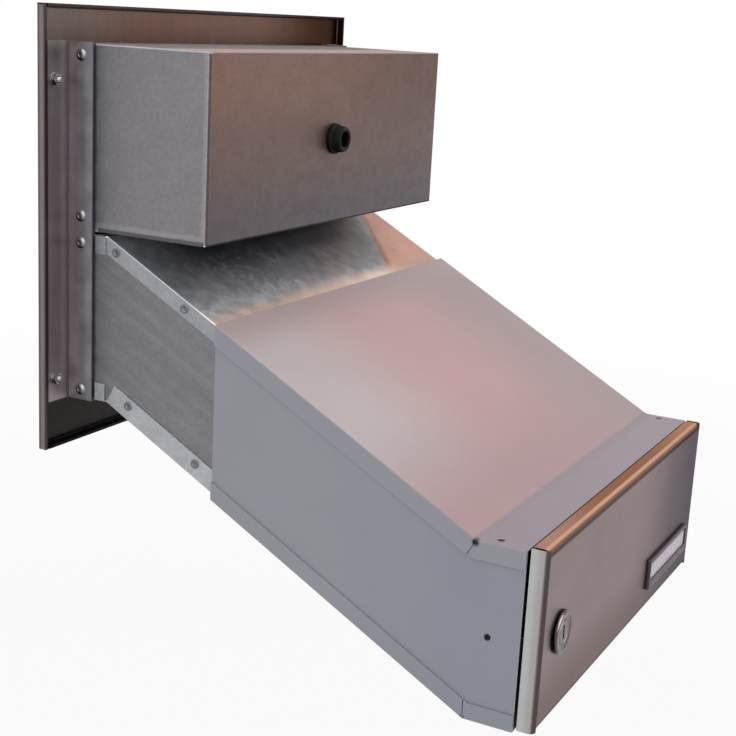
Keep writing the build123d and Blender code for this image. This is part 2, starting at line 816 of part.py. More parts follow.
with BuildPart() as cam:
    with BuildSketch(Plane.XY.offset(cam_low)):
        with Locations((0, (cam_reach - cam_width / 2) / 2)):
            SlotOverall(cam_reach + cam_width / 2, cam_width, rotation=90)
        Rectangle(cam_drive + 2 * cam_drive_play, cam_drive + 2 * cam_drive_play, mode=Mode.SUBTRACT)
    extrude(amount=cam_sheet)
with BuildPart() as lock_cam:
    with Locations(lock_seat):
        add(cam.part)

with BuildPart() as screw:
    with Locations((0, 0, cam_low)):
        Cylinder(cam_screw_head_radius, cam_screw_head, align=HIGH)
        Cylinder(cam_screw_radius, cam_screw_length, align=LOW)
    with BuildSketch(Plane.XY.offset(cam_low - cam_screw_head)):
        RegularPolygon(cam_screw_socket / 2, 6, major_radius=False)
    extrude(amount=cam_screw_head / 2, mode=Mode.SUBTRACT)
with BuildPart() as cam_screw:
    with Locations(lock_seat):
        add(screw.part)

with BuildPart() as barrel_nut:
    with BuildSketch(Plane.XY.offset(-door_sheet)):
        RegularPolygon(lock_nut_size / 2, 6, major_radius=False)
        Circle(lock_barrel_radius + thread_play, mode=Mode.SUBTRACT)
    extrude(amount=-lock_nut_height)
with BuildPart() as lock_nut:
    with Locations(lock_seat):
        add(barrel_nut.part)

# Name plate: a frame on the door's face, the card and its clear cover
plate_seat = rear_seat(nameplate_x, door_face, nameplate_z)
window_seat = rear_seat(nameplate_x, door_face, nameplate_z + nameplate_window_lift)
with BuildPart() as nameplate_frame:
    with BuildSketch(plate_seat):
        RectangleRounded(nameplate_width, nameplate_height, nameplate_corner)
    extrude(amount=nameplate_proud)
    chamfer(nameplate_frame.faces().sort_by(Axis.Y)[0].edges(), nameplate_edge)
    with BuildSketch(window_seat):
        Rectangle(nameplate_window_width, nameplate_window_height)
    extrude(amount=nameplate_proud, mode=Mode.SUBTRACT)
    with BuildSketch(window_seat):
        Rectangle(nameplate_pocket_width, nameplate_pocket_height)
    extrude(amount=nameplate_pocket, mode=Mode.SUBTRACT)


def plate_leaf(proud, sheet):
    """Flat leaf in the name plate's pocket, standing on a face that is that far from the door."""
    with BuildPart() as leaf:
        with BuildSketch(window_seat.offset(proud)):
            Rectangle(nameplate_pocket_width - nameplate_play, nameplate_pocket_height - nameplate_play)
        extrude(amount=sheet)
    return leaf.part


with BuildPart() as nameplate_insert:
    add(plate_leaf(0, nameplate_card))
with BuildPart() as nameplate_window:
    add(plate_leaf(nameplate_card, nameplate_cover))

# Letter flap with a rolled knuckle, open where the spring sits
flap_face_y = panel_back - flap_gap - flap_sheet / 2
flap_bottom = slot_top - slot_height - flap_overlap
with BuildPart() as letter_flap:
    with BuildSketch(Plane.YZ):
        with BuildLine():
            FilletPolyline(
                (flap_face_y, flap_rod_z),
                (flap_face_y, flap_bottom + flap_sheet / 2),
                (flap_face_y - flap_lip, flap_bottom + flap_sheet / 2),
                radius=flap_bend - flap_sheet / 2,
            )
        trace(line_width=flap_sheet)
        with Locations((flap_rod_y, flap_rod_z)):
            Circle(flap_knuckle_radius)
            Circle(flap_rod_radius + flap_rod_play, mode=Mode.SUBTRACT)
    extrude(amount=flap_half, both=True)
    with Locations((spring_x, flap_rod_y, flap_rod_z - spring_bay_drop)):
        Box(spring_bay, 4 * flap_knuckle_radius, 4 * flap_knuckle_radius, align=LOW, mode=Mode.SUBTRACT)

bracket_outer = flap_half + flap_bracket_gap + flap_bracket_sheet
bracket_top = flap_rod_z + flap_bracket_rise
with BuildPart() as left_bracket:
    ear_x = -bracket_outer + flap_bracket_sheet / 2
    foot_y = panel_back - flap_bracket_sheet / 2
    with BuildSketch(Plane.XY.offset(bracket_top)):
        with BuildLine():
            FilletPolyline(
                (ear_x + flap_foot_length, foot_y),
                (ear_x, foot_y),
                (ear_x, panel_back - flap_bracket_reach),
                radius=flap_bracket_bend - flap_bracket_sheet / 2,
            )
        trace(line_width=flap_bracket_sheet)
    extrude(amount=-flap_foot_height)
    with Locations((ear_x, panel_back - flap_bracket_reach, bracket_top)):
        Box(
            flap_bracket_sheet,
            flap_bracket_reach - flap_bracket_bend,
            flap_bracket_rise + flap_bracket_drop,
            align=(Align.CENTER, Align.MIN, Align.MAX),
        )
    with Locations(Plane(origin=(-bracket_outer, flap_rod_y, flap_rod_z), z_dir=(-1, 0, 0))):
        Cylinder(flap_rod_radius, flap_bracket_sheet, align=HIGH, mode=Mode.SUBTRACT)
with BuildPart() as flap_brackets:
    add(left_bracket.part)
    mirror(left_bracket.part, about=Plane.YZ)

with BuildPart() as flap_rod:
    with BuildSketch(Plane.YZ):
        with Locations((flap_rod_y, flap_rod_z)):
            Circle(flap_rod_radius)
    extrude(amount=bracket_outer, both=True)
    with Locations(*both_sides(bracket_outer, [(flap_rod_y, flap_rod_z)])):
        Cylinder(flap_rod_head_radius, flap_rod_head, align=LOW)


def leg_lean(offset):
    """Lean of a spring leg whose tip lies that far from the middle of the rod."""
    length = hypot(spring_leg, spring_coil_radius)
    return degrees(atan2(spring_coil_radius, spring_leg) + asin(offset / length))


panel_lean = leg_lean(panel_back - spring_wire_radius - flap_rod_y)
flap_lean = leg_lean(panel_back - flap_gap - flap_sheet - spring_wire_radius - flap_rod_y)
wound_turns = spring_turns + (panel_lean + flap_lean) / 360
start_angle = radians(180 - panel_lean)
with BuildPart() as flap_spring:
    coil_seat = Plane(
        origin=(spring_x - wound_turns * spring_pitch / 2, flap_rod_y, flap_rod_z),
        x_dir=(0, cos(start_angle), sin(start_angle)),
        z_dir=(1, 0, 0),
    )
    with Locations(coil_seat):
        add(coil(spring_coil_radius, wound_turns, spring_pitch, spring_wire_radius, spring_leg))

# Call button, drawn with its axis along +Z and the bezel's front at z = 0
button_seat = Plane(
    origin=(button_x, panel_depth + bezel_height, box_middle), x_dir=(-1, 0, 0), z_dir=(0, 1, 0)
)
button_rear = -bezel_height - button_body_length
with BuildPart() as button_case:
    Cylinder(bezel_radius, bezel_height, align=HIGH)
    fillet(button_case.edges().group_by(Axis.Z)[-1], bezel_edge)
    Cylinder(button_body_radius, bezel_height + button_body_length, align=HIGH)
    Cylinder(button_radius + button_play, button_neck, align=HIGH, mode=Mode.SUBTRACT)
    with Locations((0, 0, -button_neck)):
        Cylinder(button_shoulder_radius + button_play, button_well, align=HIGH, mode=Mode.SUBTRACT)
with BuildPart() as button_housing:
    with Locations(button_seat):
        add(button_case.part)

with BuildPart() as button_cap:
    with Locations((0, 0, button_proud)):
        Cylinder(button_radius, button_proud + button_neck + button_play + button_shoulder, align=HIGH)
    fillet(button_cap.edges().group_by(Axis.Z)[-1], button_edge)
    with Locations((0, 0, -button_neck - button_play)):
        Cylinder(button_shoulder_radius, button_shoulder, align=HIGH)
with BuildPart() as call_button:
    with Locations(button_seat):
        add(button_cap.part)

button_spring_low = -button_neck - button_well + button_spring_wire_radius
button_spring_high = -button_neck - button_play - button_shoulder - button_spring_wire_radius
with BuildPart() as button_spring:
    with Locations(button_seat.offset(button_spring_low)):
        button_spring_pitch = (button_spring_high - button_spring_low) / button_spring_turns
        add(coil(button_spring_radius, button_spring_turns, button_spring_pitch, button_spring_wire_radius))

with BuildPart() as bezel_nut:
    with BuildSketch(Plane.XY.offset(-bezel_height - panel_sheet)):
        RegularPolygon(button_nut_size / 2, 6, major_radius=False)
        Circle(button_body_radius + thread_play, mode=Mode.SUBTRACT)
    extrude(amount=-button_nut_height)
with BuildPart() as button_nut:
    with Locations(button_seat):
        add(bezel_nut.part)

with BuildPart() as contacts:
    with Locations((0, 0, button_rear)):
        Cylinder(contact_radius, contact_length, align=HIGH)
    with Locations((0, 0, button_rear - contact_length)):
        with GridLocations(terminal_spacing, 0, 2, 1):
            Box(terminal_height, terminal_width, terminal_length, align=HIGH)
with BuildPart() as contact_block:
    with Locations(button_seat):
        add(contacts.part)

pieces = {
    "street_panel": street_panel,
    "panel_studs": panel_studs,
    "stud_washers": stud_washers,
    "stud_nuts": stud_nuts,
    "left_angle": left_angle,
    "right_angle": right_angle,
    "angle_rivets": angle_rivets,
    "box_shell": box_shell,
    "box_top_sheet": box_top_sheet,
    "box_base_sheet": box_base_sheet,
    "cable_grommet": cable_grommet,
    "duct_top_sheet": duct_top_sheet,
    "duct_bottom_sheet": duct_bottom_sheet,
    "duct_left_side": duct_left_side,
    "duct_right_side": duct_right_side,
    "duct_rivets": duct_rivets,
    "sleeve_top_sheet": sleeve_top_sheet,
    "sleeve_bottom_sheet": sleeve_bottom_sheet,
    "sleeve_left_side": sleeve_left_side,
    "sleeve_right_side": sleeve_right_side,
    "lock_catch": lock_catch,
    "catch_screw": catch_screw,
    "door_pan": door_pan,
    "door_hinge_arms": door_hinge_arms,
    "hinge_pin": hinge_pin,
    "hinge_spacers": hinge_spacers,
    "hinge_clips": hinge_clips,
    "lock_body": lock_body,
    "lock_plug": lock_plug,
    "lock_cam": lock_cam,
    "cam_screw": cam_screw,
    "lock_nut": lock_nut,
    "nameplate_frame": nameplate_frame,
    "nameplate_insert": nameplate_insert,
    "nameplate_window": nameplate_window,
    "letter_flap": letter_flap,
    "flap_brackets": flap_brackets,
    "flap_rod": flap_rod,
    "flap_spring": flap_spring,
    "button_housing": button_housing,
    "call_button": call_button,
    "button_spring": button_spring,
    "button_nut": button_nut,
    "contact_block": contact_block,
}
for name, piece in pieces.items():
    piece.part.label = name
    export_step(piece.part, f"parts/{name}.step")
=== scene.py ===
import bmesh
import bpy
import json
from math import cos, pi, radians, sin, sqrt
from mathutils import Matrix, Vector

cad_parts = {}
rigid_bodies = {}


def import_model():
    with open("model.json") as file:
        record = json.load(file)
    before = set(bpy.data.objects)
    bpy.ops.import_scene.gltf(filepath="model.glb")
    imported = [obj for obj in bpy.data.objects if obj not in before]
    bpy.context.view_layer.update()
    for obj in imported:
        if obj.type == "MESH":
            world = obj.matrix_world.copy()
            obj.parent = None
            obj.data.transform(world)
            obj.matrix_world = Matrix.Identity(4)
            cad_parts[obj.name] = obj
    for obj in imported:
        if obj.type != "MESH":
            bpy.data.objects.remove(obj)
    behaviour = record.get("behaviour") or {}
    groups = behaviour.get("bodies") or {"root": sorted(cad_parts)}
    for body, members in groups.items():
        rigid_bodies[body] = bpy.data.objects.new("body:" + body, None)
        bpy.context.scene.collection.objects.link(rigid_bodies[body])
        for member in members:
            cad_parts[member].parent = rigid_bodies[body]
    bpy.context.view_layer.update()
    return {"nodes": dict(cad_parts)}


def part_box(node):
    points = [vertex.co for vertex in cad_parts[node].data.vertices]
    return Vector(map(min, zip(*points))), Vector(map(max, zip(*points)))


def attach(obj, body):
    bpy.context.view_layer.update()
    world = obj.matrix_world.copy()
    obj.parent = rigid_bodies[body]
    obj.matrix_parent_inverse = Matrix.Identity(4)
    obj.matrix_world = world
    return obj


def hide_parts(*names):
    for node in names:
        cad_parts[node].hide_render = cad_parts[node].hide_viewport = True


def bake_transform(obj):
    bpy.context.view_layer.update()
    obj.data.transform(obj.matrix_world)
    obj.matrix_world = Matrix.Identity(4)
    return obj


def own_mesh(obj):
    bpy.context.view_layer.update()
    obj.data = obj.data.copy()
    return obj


# Through-wall mailbox with an intercom box, in metres. +Z is up, +Y is the street, and the origin
# is on the wall behind the middle of the street panel. Sizes in profiles and tints are in mm.

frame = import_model()
nodes = frame["nodes"]
mm = 0.001

# Axes along which colours change: ACROSS rises to the photo's right, DEPTH to the street
ACROSS, DEPTH, HEIGHT = 0, 1, 2

# Slope of the duct and the sleeve, in degrees
duct_slope = 28.5

# Values that a pattern hardly goes below or above, so that its whole effect lies between them
faint, strong = 0.3, 0.7


def colour(code):
    """Linear colour from an sRGB hex code."""
    parts = [int(code[i : i + 2], 16) / 255 for i in (1, 3, 5)]
    linear = [part / 12.92 if part <= 0.04045 else ((part + 0.055) / 1.055) ** 2.4 for part in parts]
    return (*linear, 1)


def add_node(tree, kind, inputs=None, **settings):
    """Adds a node with its settings. An input is a value, a hex colour or another node's output."""
    node = tree.nodes.new("ShaderNode" + kind)
    for name, value in settings.items():
        setattr(node, name, value)
    for socket, value in (inputs or {}).items():
        if isinstance(value, bpy.types.NodeSocket):
            tree.links.new(value, node.inputs[socket])
        else:
            node.inputs[socket].default_value = colour(value) if isinstance(value, str) else value
    return node


def new_material(name, **constants):
    """Makes a material with constants on its shader. Returns the material, its tree, its shader
    and the place on the piece."""
    material = bpy.data.materials.new(name)
    material.use_nodes = True
    tree = material.node_tree
    shader = tree.nodes["Principled BSDF"]
    for socket, value in constants.items():
        shader.inputs[socket.replace("_", " ").title().replace("Ior", "IOR")].default_value = value
    return material, tree, shader, add_node(tree, "TexCoord").outputs["Object"]


def faded(tree, shade, goal, value, start, end, most=1.0, course="LINEAR"):
    """Colour that goes from shade towards goal as a value goes from start to end. It gets there
    where most is 1."""
    span = {"Value": value, "From Min": start, "From Max": end, "To Max": most}
    share = add_node(tree, "MapRange", span, interpolation_type=course).outputs[0]
    return add_node(tree, "Mix", {0: share, 6: shade, 7: goal}, data_type="RGBA").outputs[2]


def tinted(tree, place, ground, tints):
    """Colour that turns from ground to each tint, along an axis from one place to another."""
    along = add_node(tree, "SeparateXYZ", {0: place}).outputs
    shade = ground(tree, place) if callable(ground) else ground
    for axis, start, end, tint in tints:
        goal = tint(tree, place) if callable(tint) else tint
        shade = faded(tree, shade, goal, along[axis], start * mm, end * mm, course="SMOOTHSTEP")
    return shade


def painted(tree, shader, place, socket, layers):
    """Drives a socket of the shader by a ground and its tints, if it has any."""
    if layers:
        tree.links.new(tinted(tree, place, layers[0], layers[1:]), shader.inputs[socket])


def mottle(tree, place, size, stretch=(1, 1, 1), detail=3):
    """Soft noise with spots of a size in mm, drawn out along an axis where stretch is below 1."""
    stretched = add_node(tree, "Mapping", {"Vector": place, "Scale": stretch})
    spots = {"Vector": stretched.outputs[0], "Scale": 1 / (size * mm), "Detail": detail}
    return add_node(tree, "TexNoise", spots).outputs[0]


def varied(tree, shade, pattern, share):
    """Colour made lighter and darker by a share, as a pattern goes."""
    limits = {"Value": pattern, "From Min": faint, "From Max": strong}
    limits.update({"To Min": 1 - share, "To Max": 1 + share})
    pair = {0: 1.0, 6: shade, 7: add_node(tree, "MapRange", limits).outputs[0]}
    return add_node(tree, "Mix", pair, data_type="RGBA", blend_type="MULTIPLY").outputs[2]


def edged(tree, shade, code, most):
    """Colour that turns to another where a sheet's edge is rounded, as rubbed wear and as a painted
    highlight along it.
    """
    edge = add_node(tree, "Attribute", attribute_name="edge").outputs["Fac"]
    return faded(tree, shade, code, edge, 0.0, 1.0, most)


def surfaced(tree, shader, shade, pattern, rough, depth=0, relief=None):
    """Gives a shader its colour, a range of roughness that follows a pattern, and a relief. The
    relief is depth mm deep and follows the same pattern, unless it has its own."""
    limits = {"Value": pattern, "From Min": faint, "From Max": strong}
    limits.update({"To Min": rough[0], "To Max": rough[1]})
    tree.links.new(shade, shader.inputs["Base Color"])
    tree.links.new(add_node(tree, "MapRange", limits).outputs[0], shader.inputs["Roughness"])
    if depth:
        bump = {"Height": relief or pattern, "Strength": 1.0, "Distance": depth * mm}
        tree.links.new(add_node(tree, "Bump", bump).outputs[0], shader.inputs["Normal"])


# Satin stainless steel, ground with grit: fine streaks and a soft mirror. The grit's lines of
# 0.1 mm are drawn 1 mm wide, so that they show. lines is how strong they are, bare how strongly a
# rounded edge takes the edge colour, as rubbed wear and as a painted highlight, and glancing the
# painted tint of what the steel mirrors at a low angle.
def ground_stainless(
    name, ground, *tints, streak, lines=0.05, edge="#cfc8c2", wear_and_highlight=0.5, glancing=()
):
    material, tree, shader, place = new_material(name, metallic=1.0)
    satin = 0.3
    scratches = mottle(tree, place, size=1.0, stretch=streak, detail=4)
    strokes = mottle(tree, place, size=5, stretch=streak, detail=2)
    shade = tinted(tree, place, ground, tints)
    shade = varied(tree, shade, scratches, share=lines)
    shade = varied(tree, shade, strokes, share=lines)
    shade = varied(tree, shade, mottle(tree, place, size=22), share=0.04)
    shade = edged(tree, shade, edge, wear_and_highlight)
    rough = (satin - lines, satin + lines)
    surfaced(tree, shader, shade, scratches, rough, depth=0.12 * lines)
    painted(tree, shader, place, "Specular Tint", glancing)
    return material


def panel_side(tree, place):
    """A side edge of the panel: a pale band between two lines of painted shade, at its rounded front
    and at its inner edge.
    """
    lines = [(DEPTH, 2.9, 4.4, "#50484a"), (DEPTH, 1.6, 0.2, "#4a4041")]
    return tinted(tree, place, "#7d7474", lines)


def door_side(tree, place):
    """The side of the door: painted pale and lit, with painted shade where it bends to the face."""
    bend = [(DEPTH, -263, -267, "#a8a3a0"), (DEPTH, -267.6, -269.1, "#51474a")]
    return tinted(tree, place, "#b3b6b5", bend)


def door_top(tree, place):
    """The top of the door: a painted copper reflection of the warm yard, pinker to the left, with a
    painted highlight where it bends and painted shade at the foot of the bend.
    """
    ends = [(ACROSS, -30, -120, "#ad8376"), (ACROSS, 40, 125, "#a87455")]
    bend = [(DEPTH, -266.2, -267, "#cfa189"), (DEPTH, -268, -269, "#7f5f52")]
    return tinted(tree, place, "#88563a", [*ends, *bend])


# Mill-finish aluminium: soft bands along the extrusion, handling marks and a dull sheen. Both
# angles are painted with light and shade: dark lines in the inner fillet and at the outer edges of
# their legs, a light line down the corner, and lighter tones near the corner and towards the foot.
def mill_aluminium():
    material, tree, shader, place = new_material("mill_finish_aluminium", metallic=1.0)
    corner = tinted(tree, place, "#a0979b", [(HEIGHT, -10, -75, "#aea5a8")])
    light_and_shade_on_angles = [
        (ACROSS, 138, 132, "#a0979b"),
        (ACROSS, 144.4, 145.4, "#4a4144"),
        (DEPTH, 2.52, 2.35, "#51484d"),
        (ACROSS, 130.08, 130.01, corner),
        (DEPTH, 2.6, 8, "#9d9ca1"),
        (DEPTH, 9.5, 12.5, "#9a999e"),
        (DEPTH, 13, 13.4, "#58585c"),
    ]
    mirrored = add_node(tree, "VectorMath", {0: place}, operation="ABSOLUTE").outputs[0]
    bands = mottle(tree, place, size=6, stretch=(1, 1, 0.02))
    marks = mottle(tree, place, size=9, detail=5)
    ends = [(HEIGHT, 50, 75, "#8e8988"), (HEIGHT, -62, -84, "#aaa0a2")]
    shade = tinted(tree, place, "#918789", ends)
    shade = tinted(tree, mirrored, shade, light_and_shade_on_angles)
    shade = varied(tree, shade, bands, share=0.12)
    shade = varied(tree, shade, marks, share=0.07)
    shade = edged(tree, shade, "#8f8e93", most=0.5)
    surfaced(tree, shader, shade, marks, rough=(0.42, 0.55), depth=0.01, relief=bands)
    return material


# Hot-dip galvanised steel: a mosaic of zinc spangles with ragged borders under a dull grey film.
# contrast is how much they differ, rough the range of their roughness, bare how strongly a rounded
# edge takes the edge colour, as rubbed wear and as a painted highlight, glancing the painted tint of
# what the zinc mirrors at a low angle, and uncovered how much of the zinc mirrors, as a grey: where
# it is low, the painted colour shows in place of a reflection.
def galvanised(
    name,
    ground,
    *tints,
    contrast=0.05,
    rough=(0.42, 0.55),
    edge="#c9ccd0",
    wear_and_highlight=0.6,
    glancing=(),
    mirror_share=(),
):
    material, tree, shader, place = new_material(name, metallic=1.0)
    # Size of a spangle, size of the frays of its border and how far they reach, in mm
    spangle, fray, reach = 6, 4, 3
    frays = {"Vector": place, "Scale": 1 / (fray * mm), "Detail": 2.0}
    ragged = add_node(tree, "TexNoise", frays).outputs[1]
    shift = add_node(tree, "VectorMath", {0: ragged, 3: reach * mm}, operation="SCALE").outputs[0]
    frayed = add_node(tree, "VectorMath", {0: place, 1: shift}, operation="ADD").outputs[0]
    crystals = add_node(tree, "TexVoronoi", {"Vector": frayed, "Scale": 1 / (spangle * mm)})
    facet = add_node(tree, "SeparateColor", {0: crystals.outputs["Color"]}).outputs[0]
    limits = {"Value": facet, "To Min": faint, "To Max": strong}
    spangles = add_node(tree, "MapRange", limits).outputs[0]
    dents = mottle(tree, place, size=60, detail=1)
    shade = tinted(tree, place, ground, tints)
    shade = varied(tree, shade, spangles, share=contrast)
    shade = varied(tree, shade, mottle(tree, place, size=2.2), share=0.07)
    shade = varied(tree, shade, mottle(tree, place, size=16), share=0.04)
    shade = edged(tree, shade, edge, wear_and_highlight)
    surfaced(tree, shader, shade, spangles, rough, depth=0.15, relief=dents)
    painted(tree, shader, place, "Specular Tint", glancing)
    painted(tree, shader, place, "Metallic", mirror_share)
    return material


def rear_wall(tree, place):
    """The rear of the box, painted with reflections and shade: warm above, cooler at its foot and
    right, and dark along its left.
    """
    warm = [
        (ACROSS, -60, 120, "#6f5850"),
        (HEIGHT, 85, 35, "#73615d"),
        (HEIGHT, 45, 5, "#645e62"),
        (ACROSS, -126.2, -127, "#5a5152"),
    ]
    return tinted(tree, place, "#83685e", warm)


def duct_top(tree, place):
    """The top of the duct, painted with reflections and shade: dark under the box and paler further
    out and to the left, cool with bright creases, and a copper reflection of the warm yard beyond a
    slanted border.
    """
    under_box = [
        (DEPTH, -42, -48, "#8b8e92"),
        (DEPTH, -50, -64, "#cbcdd0"),
        (DEPTH, -70, -79, "#c4c5c8"),
        (ACROSS, -60, -122, "#e6e8eb"),
        (ACROSS, 0, 88, "#888584"),
    ]
    cool = tinted(tree, place, "#74777a", under_box)
    wander = mottle(tree, place, size=12)
    ridge = add_node(tree, "Math", {0: wander, 1: 0.5}, operation="PINGPONG").outputs[0]
    creased = faded(tree, cool, "#f4f5f7", ridge, 0.455, 0.495, most=0.6)
    smooth_parts = [(ACROSS, -60, 20, cool), (DEPTH, -76, -82, cool), (DEPTH, -50, -44, cool)]
    cool = tinted(tree, place, creased, smooth_parts)
    cool = varied(tree, cool, mottle(tree, place, size=9, detail=6), share=0.18)
    copper_reflection = tinted(tree, place, "#b07d6a", [(DEPTH, -50, -62, "#bd8b77")])
    border = [(ACROSS, 105.5, 107.5, "#a06a5d"), (ACROSS, 108.5, 112, copper_reflection)]
    slant = add_node(tree, "Mapping", {"Vector": place, "Rotation": (0, 0, radians(45))})
    return tinted(tree, slant.outputs[0], cool, border)


def duct_rim(tree, place):
    """The duct's top where it meets the sleeve: a painted reflection, beige, and copper at its
    right.
    """
    return tinted(tree, place, "#f3dac9", [(ACROSS, 35, 88, "#b28e7c")])


def duct_side(tree, place):
    """A side of the duct: grey, with faint rolling lines along its slope."""
    turn = {"Vector": place, "Rotation": (-radians(duct_slope), 0, 0)}
    along_slope = add_node(tree, "Mapping", turn).outputs[0]
    lines = mottle(tree, along_slope, size=5, stretch=(1, 0.03, 1))
    return varied(tree, "#808083", lines, share=0.08)


# Polyester powder coat on steel: silky, with a fine orange peel, and painted shade in the small gap
# that is left where the sleeve's folds meet at the collar
def powder_coat(name, ground, *tints):
    material, tree, shader, place = new_material(name, metallic=0.0)
    fold_gap, shade_core, shade_reach = (130.8, 235, 116), 1.3, 2.6
    mirrored = add_node(tree, "VectorMath", {0: place}, operation="ABSOLUTE").outputs[0]
    ends = {0: mirrored, 1: [size * mm for size in fold_gap]}
    near = add_node(tree, "VectorMath", ends, operation="DISTANCE").outputs["Value"]
    peel = mottle(tree, place, size=1.1, detail=2)
    shade = tinted(tree, place, ground, tints)
    shade = varied(tree, shade, peel, share=0.012)
    shade = varied(tree, shade, mottle(tree, place, size=35), share=0.02)
    shade = edged(tree, shade, "#c9c8cd", most=0.45)
    # Painted shade in the gap at the collar's fold, fading out a few mm from it
    shade = faded(tree, shade, "#1b1b1e", near, shade_reach * mm, shade_core * mm)
    surfaced(tree, shader, shade, peel, rough=(0.4, 0.5), depth=0.012)
    return material


# How far the roughness of a small piece goes up and down over its surface
uneven = 0.06


# Rivets, nuts, studs and lock: painted light where they face one way, and painted shade on the side
# that looks away. Each lean is a direction, the cosines from which and up to which it shows, and its
# colour.
def shaded_fastener(name, shade, roughness, *leans):
    material, tree, shader, place = new_material(name, metallic=1.0)
    normal = add_node(tree, "TexCoord").outputs["Normal"]
    for facing, start, end, bright in leans:
        pair = {0: normal, 1: facing}
        lean = add_node(tree, "VectorMath", pair, operation="DOT_PRODUCT").outputs["Value"]
        shade = faded(tree, shade, bright, lean, start, end)
    spots = mottle(tree, place, size=0.8)
    shade = varied(tree, shade, spots, share=0.08)
    rough = (roughness - uneven, roughness + uneven)
    surfaced(tree, shader, shade, spots, rough, depth=0.006)
    return material


# Small turned, moulded or plated pieces: a spotted surface with a fine relief
def small_piece(name, code, metallic, roughness, spot=3, share=0.06, depth=0.004, gloss=0.5):
    constants = {"metallic": metallic, "specular_ior_level": gloss}
    material, tree, shader, place = new_material(name, **constants)
    spots = mottle(tree, place, size=spot)
    pores = mottle(tree, place, size=0.5)
    shade = varied(tree, code, spots, share)
    rough = (roughness - uneven, roughness + uneven)
    surfaced(tree, shader, shade, spots, rough, depth, relief=pores)
    return material


# Clear acrylic cover: almost invisible, with a soft gloss
def clear_cover():
    material, tree, shader, place = new_material("clear_acrylic", ior=1.49, alpha=0.12)
    scuffs = mottle(tree, place, size=2, stretch=(0.1, 1, 1))
    shade = varied(tree, "#f2eff4", scuffs, share=0.03)
    surfaced(tree, shader, shade, scuffs, rough=(0.08, 0.2))
    return material


# The panel's back is painted with reflections and shade: warm brown, darker to its right, dark below
# the duct and along its rim, and dark lines at its top and bottom edges; its reflections at a low
# angle are tinted warm to its right. Its street face keeps the steel's own colour.
panel_steel = ground_stainless(
    "ground_stainless_panel",
    "#bdb9b4",
    (DEPTH, 5.2, 4.6, "#71554b"),
    (ACROSS, -60, -140, "#71645f"),
    (ACROSS, 30, 140, "#483831"),
    (HEIGHT, -84, -91, "#2f2a29"),
    (DEPTH, 0.7, 0.2, "#3a2f30"),
    (DEPTH, 4.7, 5.3, "#bdb9b4"),
    (HEIGHT, -110.3, -110.9, "#0f0d0d"),
    (ACROSS, -148.6, -149.4, panel_side),
    (ACROSS, 148.6, 149.4, panel_side),
    (HEIGHT, 111.2, 111.8, "#4a3c38"),
    streak=(1, 1, 0.02),
    wear_and_highlight=0.15,
    glancing=("#ffffff", (ACROSS, 20, 120, "#a5958f")),
)
fitting_steel = ground_stainless("ground_stainless_fittings", "#aeaba7", streak=(0.02, 1, 1))
# The door is painted with reflections and shade: darker towards its foot and its right, with lines
# of painted shade below its top bend, at its foot and beside its left side; its top and sides are
# painted by door_top and door_side, and its reflections at a low angle are tinted.
door_steel = ground_stainless(
    "ground_stainless_door",
    "#a09595",
    (HEIGHT, -165, -198, "#887d7b"),
    (ACROSS, 0, 130, "#7c7a7c"),
    (HEIGHT, -117.8, -116.6, "#5a5350"),
    (HEIGHT, -199.8, -200.8, "#5a5554"),
    (HEIGHT, -115.6, -114.9, door_top),
    (ACROSS, -126.2, -127.4, "#544a4a"),
    (ACROSS, -128.7, -129.2, door_side),
    (ACROSS, 128.7, 129.2, door_side),
    streak=(0.02, 1, 1),
    lines=0.02,
    edge="#a8a4a0",
    wear_and_highlight=0.2,
    glancing=("#c9bec0", (ACROSS, 0, 120, "#a7a1a8"), (HEIGHT, -115.6, -114.9, "#e6d6cd")),
)
# The box's sides are painted with shade next to the angle and with light along their foot and by the
# rear bend; its rear wall is painted by rear_wall.
box_zinc = galvanised(
    "galvanised_box",
    "#848285",
    (DEPTH, -22, -12, "#77777c"),
    (HEIGHT, 6.5, 5, "#939093"),
    (DEPTH, -77.5, -78.5, "#918d8e"),
    (DEPTH, -80, -80.6, rear_wall),
    wear_and_highlight=0.9,
    edge="#e6e8ea",
)
# The box's base is kept pale, so that the duct's top mirrors it as light, with painted shade along
# its left and rear edges.
base_zinc = galvanised(
    "galvanised_box_base",
    "#c6c7cb",
    (ACROSS, -128.3, -128.6, "#615e61"),
    (DEPTH, -80.3, -80.7, "#2b2929"),
    wear_and_highlight=0.0,
)
# The lid is painted with a light warm band along its rear part, where it mirrors less and shows the
# painted colour, and with a light left edge; towards the panel it keeps mirroring, and its
# reflections at a low angle are tinted warm.
lid_zinc = galvanised(
    "galvanised_lid",
    "#848285",
    (DEPTH, -44, -56, "#a6918a"),
    (ACROSS, -124, -126.5, "#b5b8bd"),
    rough=(0.6, 0.7),
    glancing=("#a8857a", (ACROSS, -122, -126.5, "#f0f0f0")),
    mirror_share=("#ffffff", (DEPTH, -44, -56, "#101010")),
    wear_and_highlight=0.0,
)
duct_zinc = galvanised("galvanised_duct", "#adafb3", wear_and_highlight=1.0, edge="#f4f5f6")
side_zinc = galvanised("galvanised_side", duct_side, contrast=0.02)
